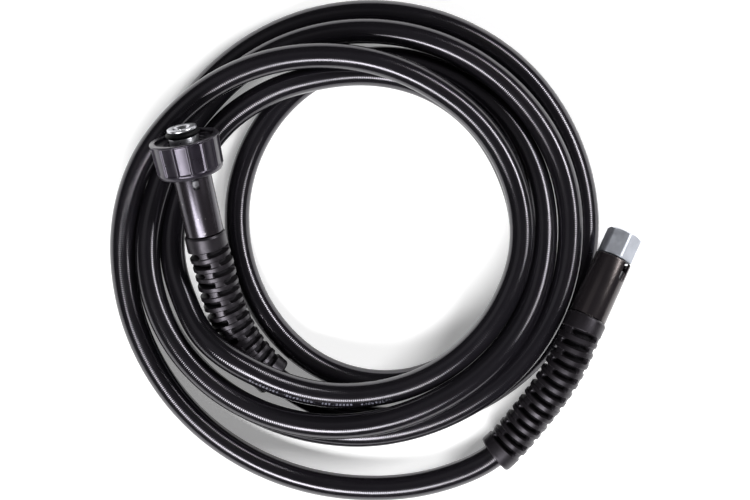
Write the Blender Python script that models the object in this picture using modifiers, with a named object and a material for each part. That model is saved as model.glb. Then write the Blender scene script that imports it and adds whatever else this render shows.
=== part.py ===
"""Pressure washer hose, lying as a loose coil on the floor.

Units are metres, +Z is up and the coil lies on Z = 0. One rubber hose runs from a
steel hex nut, round the coil five times, to a ribbed plastic hand nut. Each end
has a crimped steel ferrule with its spigot, a plastic grip sleeve over the ferrule
and a ribbed rubber bend guard over the hose.
"""
import math

import bmesh
import bpy
import numpy as np
from mathutils import Matrix, Vector

OBJECT_NAME = "pressure_washer_hose"

# Clearances
SEAT_GAP = 0.0003
STRAND_GAP = 0.0004
GUARD_ROOM = 0.0006
CUTTER_REACH = 0.0020

# Hose
HOSE_DIAMETER = 0.0132
HOSE_RADIUS = HOSE_DIAMETER / 2
STATION_STEP = 10.0
COIL_CENTRE_X = -0.0049
COIL_CENTRE_Y = 0.0081

# How the strands settle against each other
SETTLE_STEPS = 600
PUSH_SHARE = 0.6
SIDEWAYS_SHARE = 0.45
REACH_EASE = 0.02
REACH_RETURN = 0.02
HEIGHT_EASE = 0.08
HEIGHT_RETURN = 0.004

# Bend guards: a tube over the hose whose outside is cut by grooves
GUARD_LENGTH = 0.0886
GUARD_BORE_RADIUS = HOSE_RADIUS + SEAT_GAP
GUARD_WALL = 0.0038
GUARD_GROOVE_WALL = 0.0025
GUARD_RADIUS = GUARD_BORE_RADIUS + GUARD_WALL
GUARD_GROOVE_RADIUS = GUARD_BORE_RADIUS + GUARD_GROOVE_WALL
GUARD_COLLAR_LENGTH = 0.0080
GUARD_FOOT_LENGTH = 0.0074
GUARD_GROOVES = 14
GUARD_FLANK_LENGTH = 0.0006
GUARD_GROOVE_LENGTH = 0.0017

# Ferrules crimped on the hose, and the grip sleeves over them
FERRULE_CLEARANCE = 0.0004
FERRULE_WALL = 0.0010
FERRULE_BOTTOM = 0.0030
FERRULE_BORE_RADIUS = HOSE_RADIUS + FERRULE_CLEARANCE
FERRULE_RADIUS = FERRULE_BORE_RADIUS + FERRULE_WALL
SLEEVE_WALL = 0.0015
SLEEVE_BORE_RADIUS = FERRULE_RADIUS + SEAT_GAP
SLEEVE_RADIUS = SLEEVE_BORE_RADIUS + SLEEVE_WALL
SLEEVE_END_ROUNDING = 0.0008
SPIGOT_BORE_RADIUS = 0.0028

# Steel end: grip sleeve and hex swivel nut
STEEL_SLEEVE_LENGTH = 0.0342
STEEL_FERRULE_RECESS = 0.0050
STEEL_SLOT_WIDTH = 0.0046
STEEL_SLOT_LENGTH = 0.0104
STEEL_SLOT_ANGLE = 229.0
HEX_FLATS = 0.0170
HEX_LENGTH = 0.0140
HEX_CHAMFER = 0.0011
HEX_TURN = -17.8
HEX_THREAD_RADIUS = 0.0060
HEX_NECK_RADIUS = 0.0046
HEX_SHOULDER_LENGTH = 0.0026
HEX_MOUTH_CHAMFER = 0.0007
SWIVEL_LAND = 0.0012
SWIVEL_LIP = 0.0006

# Plastic end: grip sleeve, hand nut and spigot with its seal
HAND_SLEEVE_LENGTH = 0.0318
HAND_FERRULE_RECESS = 0.0020
HAND_SLOT_WIDTH = 0.0036
HAND_SLOT_LENGTH = 0.0064
HAND_SLOT_ANGLE = 189.0
HAND_NUT_RADIUS = 0.0180
HAND_NUT_LENGTH = 0.0190
HAND_NUT_RIBS = 14
HAND_NUT_TURN = 6.4
HAND_NUT_RIB_HEIGHT = 0.0007
HAND_NUT_RIB_WIDTH = 0.0015
HAND_NUT_RIB_ROOT = 0.0014
HAND_NUT_ROUNDING = 0.0007
HAND_NUT_BASE_BEVEL = 0.0022
HAND_NUT_RIM_LENGTH = 0.0018
HAND_NUT_RECESS_RADIUS = 0.0150
HAND_NUT_RECESS_DEPTH = 0.0022
HAND_NUT_THREAD_RADIUS = 0.0105
HAND_NUT_THREAD_DEPTH = 0.0130
SPIGOT_NECK_RADIUS = 0.0050
SPIGOT_FLANGE_RADIUS = 0.0092
SPIGOT_FLANGE_LENGTH = 0.0020
SPIGOT_HEAD_RADIUS = 0.0077
SPIGOT_HEAD_BEVEL = 0.0005
SPIGOT_MOUTH_WIDENING = 0.0017
SPIGOT_REACH = 0.0056
SEAL_THICKNESS = 0.0028
SEAL_BELOW_TOP = 0.0014
SEAL_GROOVE_RADIUS = 0.0058

# Where the two ends lie: the seam between bend guard and sleeve, and the way it points
STEEL_SEAM = Vector((0.1144, -0.0431, 0.0262))
STEEL_HEADING = 65.0
STEEL_RISE = -7.0
HAND_SEAM = Vector((-0.0828, 0.0008, 0.0346))
HAND_HEADING = 101.1
HAND_RISE = 17.0

# The coil, turn by turn: clock angle in degrees from the far side (+Y) towards +X,
# distance from the coil's centre in mm, height in hose diameters above the floor.
TURN_ONE = [
    (110, 122.1, 1.50), (120, 122.9, 1.50), (130, 125.3, 1.16), (140, 128.6, 0.72), (150, 133.6, 0.40),
    (162, 134.8, 0.12), (180, 133.0, 0.00), (195, 132.6, 0.00), (210, 132.3, 0.00), (225, 131.9, 0.00),
    (240, 130.6, 0.10), (255, 129.0, 0.35), (270, 125.9, 0.75), (280, 123.1, 1.15), (290, 120.1, 1.35),
    (300, 115.4, 1.60), (310, 111.6, 1.75), (320, 107.0, 1.85), (330, 102.0, 1.90), (340, 97.2, 1.85),
    (350, 93.0, 1.80),
]
TURN_TWO = [
    (360, 89.6, 1.75), (370, 86.6, 1.72), (380, 84.2, 1.70), (390, 82.6, 1.70), (405, 81.8, 1.65),
    (420, 81.2, 1.60), (450, 80.9, 1.55), (480, 80.2, 1.50), (510, 80.3, 1.40), (525, 81.2, 1.20),
    (540, 82.8, 1.00), (560, 86.5, 1.25), (575, 89.6, 1.62), (585, 92.0, 1.62), (595, 95.1, 1.20),
    (610, 99.9, 0.60), (620, 102.0, 0.40), (630, 102.8, 0.35), (640, 101.8, 0.35), (650, 99.6, 0.45),
    (662, 96.5, 0.50), (675, 92.3, 0.75), (690, 88.0, 0.95), (700, 85.5, 1.00), (710, 84.4, 0.95),
]
TURN_THREE = [
    (720, 84.0, 0.85), (735, 83.8, 0.75), (750, 83.4, 0.70), (765, 82.8, 0.60), (780, 82.4, 0.50),
    (810, 82.2, 0.30), (840, 82.0, 0.10), (870, 81.6, 0.00), (885, 80.0, 0.00), (900, 77.2, 0.00),
    (920, 73.2, 0.00), (935, 70.0, 0.00), (950, 67.6, 0.00), (970, 66.3, 0.00), (990, 67.4, 0.00),
    (1010, 70.8, 0.00), (1030, 75.9, 0.00), (1040, 79.3, 0.00), (1050, 83.2, 0.00), (1060, 86.9, 0.00),
    (1070, 90.1, 0.00),
]
TURN_FOUR = [
    (1080, 92.5, 0.00), (1095, 94.3, 0.00), (1110, 94.8, 0.05), (1125, 94.8, 0.15), (1140, 94.4, 0.35),
    (1155, 93.8, 0.65), (1170, 93.1, 1.00), (1200, 92.3, 1.50), (1215, 92.2, 1.80), (1230, 92.6, 1.90),
    (1245, 94.7, 1.90), (1260, 98.0, 1.85), (1280, 103.7, 1.75), (1295, 108.4, 1.50), (1305, 111.3, 1.30),
    (1320, 114.4, 1.10), (1335, 115.3, 1.00), (1350, 113.5, 0.95), (1360, 110.5, 0.85), (1370, 108.7, 0.84),
    (1385, 107.6, 0.84), (1400, 107.0, 0.85), (1420, 106.6, 0.85),
]
TURN_FIVE = [
    (1440, 106.1, 0.80), (1470, 106.5, 0.80), (1500, 106.7, 0.80), (1530, 106.3, 0.85), (1550, 105.4, 0.90),
    (1575, 103.6, 1.00), (1590, 102.4, 1.00), (1605, 102.2, 0.95), (1620, 103.4, 0.85), (1640, 106.4, 0.70),
    (1655, 109.4, 0.50), (1665, 112.2, 0.30), (1680, 115.3, 0.10), (1695, 117.0, 0.00), (1710, 117.0, 0.00),
    (1740, 114.8, 0.00), (1760, 115.4, 0.00),
]
TURN_SIX = [
    (1800, 117.0, 0.00), (1830, 118.3, 0.00), (1845, 118.5, 0.00), (1860, 117.6, 0.00), (1890, 116.0, 0.00),
    (1905, 113.9, 0.00), (1920, 110.8, 0.00), (1935, 106.8, 0.00), (1950, 103.4, 0.00), (1965, 100.1, 0.00),
    (1980, 96.9, 0.00), (1995, 92.7, 0.12), (2010, 89.5, 0.36), (2020, 87.6, 0.56), (2030, 85.4, 0.81),
    (2040, 82.9, 1.08), (2050, 80.9, 1.39), (2060, 80.4, 1.75), (2070, 82.6, 2.10),
]
GUARDED_AT_START = 155
GUARDED_AT_END = 2005

# Colours, roughness and metal share
LOOKS = {
    "rubber_hose": ((0.020, 0.018, 0.022), 0.38, 0.0),
    "guard_rubber": ((0.032, 0.029, 0.033), 0.55, 0.0),
    "sleeve_plastic": ((0.028, 0.025, 0.029), 0.36, 0.0),
    "nut_plastic": ((0.034, 0.031, 0.036), 0.42, 0.0),
    "seal_rubber": ((0.012, 0.012, 0.013), 0.45, 0.0),
    "zinc_steel": ((0.560, 0.565, 0.600), 0.34, 1.0),
}


def remove_old_objects():
    for old in list(bpy.data.objects):
        bpy.data.objects.remove(old, do_unlink=True)


def new_collection(name):
    collection = bpy.data.collections.new(name)
    bpy.context.scene.collection.children.link(collection)
    return collection


def new_material(name):
    colour, roughness, metallic = LOOKS[name]
    material = bpy.data.materials.new(name)
    material.use_nodes = True
    shader = material.node_tree.nodes["Principled BSDF"]
    shader.inputs["Base Color"].default_value = (*colour, 1.0)
    shader.inputs["Roughness"].default_value = roughness
    shader.inputs["Metallic"].default_value = metallic
    material.diffuse_color = (*colour, 1.0)
    return material


def add_object(name, data, collection, material=None, parent=None):
    item = bpy.data.objects.new(name, data)
    collection.objects.link(item)
    if material is not None:
        data.materials.append(material)
    if parent is not None:
        item.parent = parent
    return item


def add_axis(name, seat, heading, rise, collection):
    """An empty whose +Z runs out of the fitting, along the heading and up by the rise."""
    empty = bpy.data.objects.new(name, None)
    empty.empty_display_size = 0.02
    collection.objects.link(empty)
    empty.location = seat
    empty.rotation_euler = (0.0, math.radians(90.0 - rise), math.radians(heading))
    return empty


def smooth_shade(mesh, angle=35.0):
    mesh.shade_smooth()
    mesh.set_sharp_from_angle(angle=math.radians(angle))


def turned(name, profile, collection, material=None, parent=None, sides=48):
    """A closed outline of (radius, height) turned about Z; its outer side runs downwards."""
    mesh = bpy.data.meshes.new(name)
    count = len(profile)
    edges = [(i, (i + 1) % count) for i in range(count)]
    mesh.from_pydata([(radius, 0.0, height) for radius, height in profile], edges, [])
    item = add_object(name, mesh, collection, material, parent)
    screw = item.modifiers.new("turn", "SCREW")
    screw.axis = "Z"
    screw.steps = sides
    screw.render_steps = sides
    screw.use_merge_vertices = True
    screw.merge_threshold = 0.00001
    screw.use_smooth_shade = True
    return item


def as_cutter(item, collection):
    for owner in list(item.users_collection):
        owner.objects.unlink(item)
    collection.objects.link(item)
    item.hide_render = True
    item.display_type = "WIRE"
    return item


def cut(item, cutter, operation="DIFFERENCE"):
    boolean = item.modifiers.new("cut_" + cutter.name, "BOOLEAN")
    boolean.operation = operation
    boolean.solver = "EXACT"
    boolean.object = cutter


def box_cutter(name, size, centre, parent, cutters, turn=0.0):
    """A block turned about the fitting's own axis."""
    mesh = bpy.data.meshes.new(name)
    shape = bmesh.new()
    bmesh.ops.create_cube(shape, size=1.0)
    bmesh.ops.scale(shape, vec=Vector(size), verts=shape.verts)
    bmesh.ops.translate(shape, vec=Vector(centre), verts=shape.verts)
    spin = Matrix.Rotation(math.radians(turn), 3, "Z")
    bmesh.ops.rotate(shape, cent=(0, 0, 0), matrix=spin, verts=shape.verts)
    shape.to_mesh(mesh)
    shape.free()
    item = add_object(name, mesh, cutters, None, parent)
    item.hide_render = True
    item.display_type = "WIRE"
    return item


def smooth_values(places, values, wanted):
    """Natural cubic curve through the values, read at the wanted places."""
    x = np.asarray(places, dtype=float)
    y = np.asarray(values, dtype=float)
    gaps = np.diff(x)
    slopes = np.diff(y) / gaps
    count = len(x)
    system = np.eye(count)
    right = np.zeros(count)
    for i in range(1, count - 1):
        system[i, i - 1] = gaps[i - 1]
        system[i, i] = 2.0 * (gaps[i - 1] + gaps[i])
        system[i, i + 1] = gaps[i]
        right[i] = 6.0 * (slopes[i] - slopes[i - 1])
    bend = np.linalg.solve(system, right)
    at = np.clip(np.searchsorted(x, wanted) - 1, 0, count - 2)
    left = np.asarray(wanted) - x[at]
    rest = gaps[at] - left
    curved = bend[at] * rest ** 3 + bend[at + 1] * left ** 3
    first = (y[at] / gaps[at] - bend[at] * gaps[at] / 6.0) * rest
    second = (y[at + 1] / gaps[at] - bend[at + 1] * gaps[at] / 6.0) * left
    return curved / (6.0 * gaps[at]) + first + second


def settled_coil():
    """Stations round the coil, pressed apart until no two strands share room."""
    stations = TURN_ONE + TURN_TWO + TURN_THREE + TURN_FOUR + TURN_FIVE + TURN_SIX
    clock = [angle for angle, reach, level in stations]
    angles = np.arange(stations[0][0], stations[-1][0] + 0.1, STATION_STEP)
    reach = smooth_values(clock, [value / 1000.0 for angle, value, level in stations], angles)
    level = smooth_values(clock, [value for angle, distance, value in stations], angles)
    height = np.maximum(level + 0.5, 0.5) * HOSE_DIAMETER
    guarded = (angles < GUARDED_AT_START) | (angles > GUARDED_AT_END)
    body = np.where(guarded, GUARD_RADIUS + GUARD_ROOM, HOSE_RADIUS)
    held = guarded.astype(float)
    chosen_reach = reach.copy()
    chosen_height = height.copy()
    turn = int(round(360.0 / STATION_STEP))
    for step in range(SETTLE_STEPS):
        push_reach = np.zeros(len(angles))
        push_height = np.zeros(len(angles))
        for lower in range(turn, len(angles), turn):
            inner = np.arange(len(angles) - lower)
            outer = inner + lower
            across = reach[outer] - reach[inner]
            above = height[outer] - height[inner]
            apart = np.maximum(np.hypot(across, above), 1e-6)
            room = body[outer] + body[inner] + STRAND_GAP
            lack = np.maximum(room - apart, 0.0) / apart
            share = 0.5 + 0.5 * (held[inner] - held[outer])
            sideways = lack * across * SIDEWAYS_SHARE
            upwards = lack * above
            np.add.at(push_reach, outer, sideways * share)
            np.add.at(push_height, outer, upwards * share)
            np.add.at(push_reach, inner, -sideways * (1.0 - share))
            np.add.at(push_height, inner, -upwards * (1.0 - share))
        reach = reach + PUSH_SHARE * push_reach * (1.0 - held)
        height = height + PUSH_SHARE * push_height * (1.0 - held)
        even_reach = np.zeros(len(angles))
        even_reach[1:-1] = 0.5 * (reach[:-2] + reach[2:]) - reach[1:-1]
        even_height = np.zeros(len(angles))
        even_height[1:-1] = 0.5 * (height[:-2] + height[2:]) - height[1:-1]
        reach_change = REACH_EASE * even_reach + REACH_RETURN * (chosen_reach - reach)
        height_change = HEIGHT_EASE * even_height + HEIGHT_RETURN * (chosen_height - height)
        reach = reach + reach_change * (1.0 - held)
        height = np.maximum(height + height_change * (1.0 - held), HOSE_RADIUS)
    return angles, reach, height


def fitting_direction(heading, rise):
    flat = math.cos(math.radians(rise))
    return Vector((
        flat * math.cos(math.radians(heading)),
        flat * math.sin(math.radians(heading)),
        math.sin(math.radians(rise)),
    ))


def hose_route(centre):
    """Points of the hose's centre line, from the steel ferrule to the plastic end's ferrule."""
    angles, reach, height = settled_coil()
    route = []
    for angle, distance, level in zip(angles, reach, height):
        turned_by = math.radians(angle)
        flat = Vector((distance * math.sin(turned_by), distance * math.cos(turned_by), level))
        route.append(flat + centre)
    steel_way = fitting_direction(STEEL_HEADING, STEEL_RISE)
    hand_way = fitting_direction(HAND_HEADING, HAND_RISE)
    steel_seam = STEEL_SEAM + centre
    hand_seam = HAND_SEAM + centre
    start = straight_end(steel_seam, steel_way, steel_insert())
    end = straight_end(hand_seam, hand_way, hand_insert())
    return start + route[1:-1] + end[::-1]


def straight_end(seam, way, insert):
    """The hose's stretch inside the ferrule and the bend guard's collar."""
    return [seam + way * insert, seam + way * (insert * 0.5), seam, seam - way * GUARD_COLLAR_LENGTH]


def steel_insert():
    """How far the hose reaches into the steel end, up to the bottom of its ferrule."""
    return STEEL_SLEEVE_LENGTH - STEEL_FERRULE_RECESS - FERRULE_BOTTOM - SEAT_GAP


def hand_insert():
    return HAND_SLEEVE_LENGTH - HAND_FERRULE_RECESS - FERRULE_BOTTOM - SEAT_GAP


def distances_along(route):
    steps = [0.0]
    for a, b in zip(route[:-1], route[1:]):
        steps.append(steps[-1] + (b - a).length)
    return steps


def stretch(route, length):
    """The route's own points, up to one past the given length."""
    steps = distances_along(route)
    return [point for point, step in zip(route[1:], steps) if step <= length + HOSE_DIAMETER]


def along(route, distances):
    """Points on a smooth curve through the route, at distances from its first point."""
    steps = distances_along(route)
    lines = [smooth_values(steps, [p[axis] for p in route], distances) for axis in range(3)]
    return [Vector(point) for point in zip(*lines)]


def tube(name, points, radii, collection, material=None, resolution=2):
    curve = bpy.data.curves.new(name, "CURVE")
    curve.dimensions = "3D"
    curve.bevel_depth = 1.0
    curve.bevel_resolution = resolution
    curve.use_fill_caps = True
    spline = curve.splines.new("POLY")
    spline.points.add(len(points) - 1)
    for knot, point, radius in zip(spline.points, points, radii):
        knot.co = (*point, 1.0)
        knot.radius = radius
    return add_object(name, curve, collection, material)


def curve_to_mesh(item, collection, material=None):
    """The curve as one welded mesh that a Boolean can work on."""
    graph = bpy.context.evaluated_depsgraph_get()
    mesh = bpy.data.meshes.new_from_object(item.evaluated_get(graph), depsgraph=graph)
    shape = bmesh.new()
    shape.from_mesh(mesh)
    bmesh.ops.remove_doubles(shape, verts=shape.verts, dist=0.00001)
    bmesh.ops.recalc_face_normals(shape, faces=shape.faces)
    shape.to_mesh(mesh)
    shape.free()
    name = item.name
    place = item.matrix_world.copy()
    bpy.data.objects.remove(item, do_unlink=True)
    mesh.materials.clear()
    solid = add_object(name, mesh, collection, material)
    solid.matrix_world = place
    return solid


def make_hose(route, collection, material):
    return tube("hose", route, [HOSE_RADIUS] * len(route), collection, material)


def guard_outline():
    """Distance from the seam and radius, along the ribbed bend guard."""
    ribbed = GUARD_LENGTH - GUARD_COLLAR_LENGTH - GUARD_FOOT_LENGTH
    groove = GUARD_GROOVE_LENGTH + GUARD_FLANK_LENGTH * 2.0
    pitch = (ribbed - groove) / (GUARD_GROOVES - 1)
    outline = [(SEAT_GAP, GUARD_RADIUS)]
    for count in range(GUARD_GROOVES):
        start = GUARD_COLLAR_LENGTH + count * pitch
        bottom = start + GUARD_FLANK_LENGTH
        outline.append((start, GUARD_RADIUS))
        outline.append((bottom, GUARD_GROOVE_RADIUS))
        outline.append((bottom + GUARD_GROOVE_LENGTH, GUARD_GROOVE_RADIUS))
        outline.append((start + groove, GUARD_RADIUS))
    outline.append((GUARD_LENGTH, GUARD_RADIUS))
    return outline


def make_guard(name, route, seam, collection, cutters, material):
    """The route runs from the hose's end inside the ferrule; the seam is a distance along it."""
    outline = guard_outline()
    points = along(route, [seam + distance for distance, radius in outline])
    body = tube(name, points, [radius for distance, radius in outline], collection, None, 4)
    guard = curve_to_mesh(body, collection, material)
    smooth_shade(guard.data)
    inner = stretch(route, seam + GUARD_LENGTH)
    bore_radius = GUARD_BORE_RADIUS / math.cos(math.pi / 12)
    bore = tube(name + "_bore", inner, [bore_radius] * len(inner), cutters, None, 4)
    bore = curve_to_mesh(bore, cutters)
    bore.hide_render = True
    bore.display_type = "WIRE"
    cut(guard, bore)
    return guard


def make_sleeve(name, length, slot, axis, collection, cutters, material):
    top = length - SEAT_GAP
    profile = [
        (SLEEVE_BORE_RADIUS, top),
        (SLEEVE_RADIUS - SLEEVE_END_ROUNDING, top),
        (SLEEVE_RADIUS, top - SLEEVE_END_ROUNDING),
        (SLEEVE_RADIUS, SEAT_GAP),
        (SLEEVE_BORE_RADIUS, SEAT_GAP),
    ]
    sleeve = turned(name, profile, collection, material, axis)
    slot_width, slot_length, slot_angle = slot
    wall = SLEEVE_RADIUS - SLEEVE_BORE_RADIUS
    size = (wall + 2.0 * CUTTER_REACH, slot_width, slot_length)
    centre = (SLEEVE_BORE_RADIUS + wall * 0.5, 0.0, length - slot_length * 0.5)
    window = box_cutter(name + "_slot", size, centre, axis, cutters, slot_angle)
    cut(sleeve, window)
    return sleeve


def ferrule_outline(shoulder):
    """Outer side of a ferrule cup from its shoulder, then its bore, ending at the inner bottom."""
    floor = shoulder - FERRULE_BOTTOM
    mouth = SEAT_GAP * 2.0
    return [
        (FERRULE_RADIUS, shoulder),
        (FERRULE_RADIUS, mouth),
        (FERRULE_BORE_RADIUS, mouth),
        (FERRULE_BORE_RADIUS, floor),
    ]


def make_steel_spigot(axis, collection, material):
    """Ferrule, neck and the swivel head that the hex nut turns on, as one pressed piece."""
    neck = HEX_NECK_RADIUS - SEAT_GAP
    head = HEX_THREAD_RADIUS - SEAT_GAP
    seat = STEEL_SLEEVE_LENGTH + SEAT_GAP + HEX_SHOULDER_LENGTH + SEAT_GAP
    cone = head - SPIGOT_BORE_RADIUS - SWIVEL_LIP
    top = seat + SWIVEL_LAND + cone
    shoulder = STEEL_SLEEVE_LENGTH - STEEL_FERRULE_RECESS
    profile = [
        (SPIGOT_BORE_RADIUS, top),
        (head - cone, top),
        (head, seat + SWIVEL_LAND),
        (head, seat),
        (neck, seat),
        (neck, shoulder),
    ]
    profile += ferrule_outline(shoulder)
    profile.append((SPIGOT_BORE_RADIUS, profile[-1][1]))
    return turned("steel_spigot", profile, collection, material, axis)


def make_hex_nut(axis, collection, cutters, material):
    start = STEEL_SLEEVE_LENGTH + SEAT_GAP
    end = start + HEX_LENGTH
    mesh = bpy.data.meshes.new("hex_nut")
    shape = bmesh.new()
    corner = HEX_FLATS / math.sqrt(3.0)
    spin = Matrix.Rotation(math.radians(HEX_TURN), 3, "Z")
    lift = Vector((0.0, 0.0, start + HEX_LENGTH / 2))
    bmesh.ops.create_cone(
        shape, cap_ends=True, segments=6, radius1=corner, radius2=corner, depth=HEX_LENGTH,
    )
    bmesh.ops.rotate(shape, cent=(0, 0, 0), matrix=spin, verts=shape.verts)
    bmesh.ops.translate(shape, vec=lift, verts=shape.verts)
    shape.to_mesh(mesh)
    shape.free()
    nut = add_object("hex_nut", mesh, collection, material, axis)
    slope = HEX_CHAMFER / math.tan(math.radians(30.0))
    wide = corner + CUTTER_REACH
    crown = [
        (0.0, end + CUTTER_REACH),
        (corner - slope, end + CUTTER_REACH),
        (corner - slope, end),
        (corner, end - HEX_CHAMFER),
        (wide, end - HEX_CHAMFER),
        (wide, start - CUTTER_REACH),
        (0.0, start - CUTTER_REACH),
    ]
    envelope = turned("hex_crown", crown, cutters, None, axis)
    as_cutter(envelope, cutters)
    cut(nut, envelope, "INTERSECT")
    mouth = HEX_THREAD_RADIUS + HEX_MOUTH_CHAMFER
    bore = [
        (0.0, end + CUTTER_REACH),
        (mouth, end + CUTTER_REACH),
        (mouth, end),
        (HEX_THREAD_RADIUS, end - HEX_MOUTH_CHAMFER),
        (HEX_THREAD_RADIUS, start + HEX_SHOULDER_LENGTH),
        (HEX_NECK_RADIUS, start + HEX_SHOULDER_LENGTH),
        (HEX_NECK_RADIUS, start - CUTTER_REACH),
        (0.0, start - CUTTER_REACH),
    ]
    opening = turned("hex_bore", bore, cutters, None, axis)
    as_cutter(opening, cutters)
    cut(nut, opening)
    return nut


def make_hand_nut(axis, collection, cutters, material):
    start = HAND_SLEEVE_LENGTH + SEAT_GAP
    end = start + HAND_NUT_LENGTH
    body = HAND_NUT_RADIUS - HAND_NUT_RIB_HEIGHT
    recess = end - HAND_NUT_RECESS_DEPTH
    bottom = recess - HAND_NUT_THREAD_DEPTH
    neck = SPIGOT_NECK_RADIUS + SEAT_GAP
    profile = [
        (HAND_NUT_RECESS_RADIUS, end),
        (HAND_NUT_RADIUS - HAND_NUT_ROUNDING, end),
        (HAND_NUT_RADIUS, end - HAND_NUT_ROUNDING),
        (HAND_NUT_RADIUS, end - HAND_NUT_RIM_LENGTH),
        (body, end - HAND_NUT_RIM_LENGTH - HAND_NUT_RIB_HEIGHT),
        (body, start + HAND_NUT_BASE_BEVEL),
        (body - HAND_NUT_BASE_BEVEL, start),
        (neck, start),
        (neck, bottom),
        (HAND_NUT_THREAD_RADIUS, bottom),
        (HAND_NUT_THREAD_RADIUS, recess),
        (HAND_NUT_RECESS_RADIUS, recess),
    ]
    nut = turned("hand_nut", profile, collection, material, axis, 56)
    rib_start = start + HAND_NUT_BASE_BEVEL
    rib_end = end - HAND_NUT_RIM_LENGTH * 0.5
    rib_depth = HAND_NUT_RIB_HEIGHT + HAND_NUT_RIB_ROOT
    size = (rib_depth, HAND_NUT_RIB_WIDTH, rib_end - rib_start)
    centre = (HAND_NUT_RADIUS - rib_depth * 0.5, 0.0, (rib_start + rib_end) * 0.5)
    for rib in range(HAND_NUT_RIBS):
        turn = HAND_NUT_TURN + 360.0 * rib / HAND_NUT_RIBS
        block = box_cutter("hand_nut_rib_%02d" % (rib + 1), size, centre, axis, cutters, turn)
        cut(nut, block, "UNION")
    return nut


def make_hand_spigot(axis, collection, material):
    """Ferrule, neck, flange inside the nut, and the grooved head that stands out of its mouth."""
    nut_start = HAND_SLEEVE_LENGTH + SEAT_GAP
    nut_end = nut_start + HAND_NUT_LENGTH
    flange_seat = nut_end - HAND_NUT_RECESS_DEPTH - HAND_NUT_THREAD_DEPTH + SEAT_GAP
    top = nut_end + SPIGOT_REACH
    groove_top = top - SEAL_BELOW_TOP
    groove_bottom = groove_top - SEAL_THICKNESS - SEAT_GAP * 2.0
    shoulder = HAND_SLEEVE_LENGTH - HAND_FERRULE_RECESS
    profile = [
        (SPIGOT_BORE_RADIUS, top - SPIGOT_MOUTH_WIDENING),
        (SPIGOT_BORE_RADIUS + SPIGOT_MOUTH_WIDENING, top),
        (SPIGOT_HEAD_RADIUS - SPIGOT_HEAD_BEVEL, top),
        (SPIGOT_HEAD_RADIUS, top - SPIGOT_HEAD_BEVEL),
        (SPIGOT_HEAD_RADIUS, groove_top),
        (SEAL_GROOVE_RADIUS, groove_top),
        (SEAL_GROOVE_RADIUS, groove_bottom),
        (SPIGOT_HEAD_RADIUS, groove_bottom),
        (SPIGOT_HEAD_RADIUS, flange_seat + SPIGOT_FLANGE_LENGTH),
        (SPIGOT_FLANGE_RADIUS, flange_seat + SPIGOT_FLANGE_LENGTH),
        (SPIGOT_FLANGE_RADIUS, flange_seat),
        (SPIGOT_NECK_RADIUS, flange_seat),
        (SPIGOT_NECK_RADIUS, shoulder),
    ]
    profile += ferrule_outline(shoulder)
    profile.append((SPIGOT_BORE_RADIUS, profile[-1][1]))
    return turned("hand_spigot", profile, collection, material, axis)


def make_seal(axis, collection, material):
    """Rubber ring in the head's groove."""
    nut_end = HAND_SLEEVE_LENGTH + SEAT_GAP + HAND_NUT_LENGTH
    groove_top = nut_end + SPIGOT_REACH - SEAL_BELOW_TOP
    half = SEAL_THICKNESS / 2
    middle = groove_top - SEAT_GAP - half
    centre = SEAL_GROOVE_RADIUS + SEAT_GAP + half
    sides = 10
    profile = []
    for i in range(sides):
        around = 2.0 * math.pi * (i + 0.5) / sides
        profile.append((centre + half * math.sin(around), middle + half * math.cos(around)))
    return turned("spigot_seal", profile, collection, material, axis, 32)


def main():
    remove_old_objects()
    collection = new_collection(OBJECT_NAME)
    cutters = new_collection("cutters")
    materials = {name: new_material(name) for name in LOOKS}
    centre = Vector((COIL_CENTRE_X, COIL_CENTRE_Y, 0.0))
    route = hose_route(centre)

    steel_axis = add_axis("steel_end_axis", STEEL_SEAM + centre, STEEL_HEADING, STEEL_RISE, collection)
    hand_axis = add_axis("hand_end_axis", HAND_SEAM + centre, HAND_HEADING, HAND_RISE, collection)

    make_hose(route, collection, materials["rubber_hose"])
    guard = materials["guard_rubber"]
    make_guard("steel_bend_guard", route, steel_insert(), collection, cutters, guard)
    make_guard("hand_bend_guard", route[::-1], hand_insert(), collection, cutters, guard)

    sleeve = materials["sleeve_plastic"]
    steel = materials["zinc_steel"]
    steel_slot = (STEEL_SLOT_WIDTH, STEEL_SLOT_LENGTH, STEEL_SLOT_ANGLE)
    hand_slot = (HAND_SLOT_WIDTH, HAND_SLOT_LENGTH, HAND_SLOT_ANGLE)
    make_sleeve("steel_end_sleeve", STEEL_SLEEVE_LENGTH, steel_slot, steel_axis, collection, cutters, sleeve)
    make_steel_spigot(steel_axis, collection, steel)
    make_hex_nut(steel_axis, collection, cutters, steel)
    make_sleeve("hand_end_sleeve", HAND_SLEEVE_LENGTH, hand_slot, hand_axis, collection, cutters, sleeve)
    make_hand_spigot(hand_axis, collection, steel)
    make_seal(hand_axis, collection, materials["seal_rubber"])
    make_hand_nut(hand_axis, collection, cutters, materials["nut_plastic"])


main()
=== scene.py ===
"""Looks of the pressure washer hose: the coiled rubber hose, its two ribbed bend guards,
grip sleeves, spigots and nuts, on a pale studio floor.

Units are metres, +Z is up, and the floor is Z = 0.
"""
import math

import bmesh
import bpy
import numpy as np
from mathutils import Matrix, Vector


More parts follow.
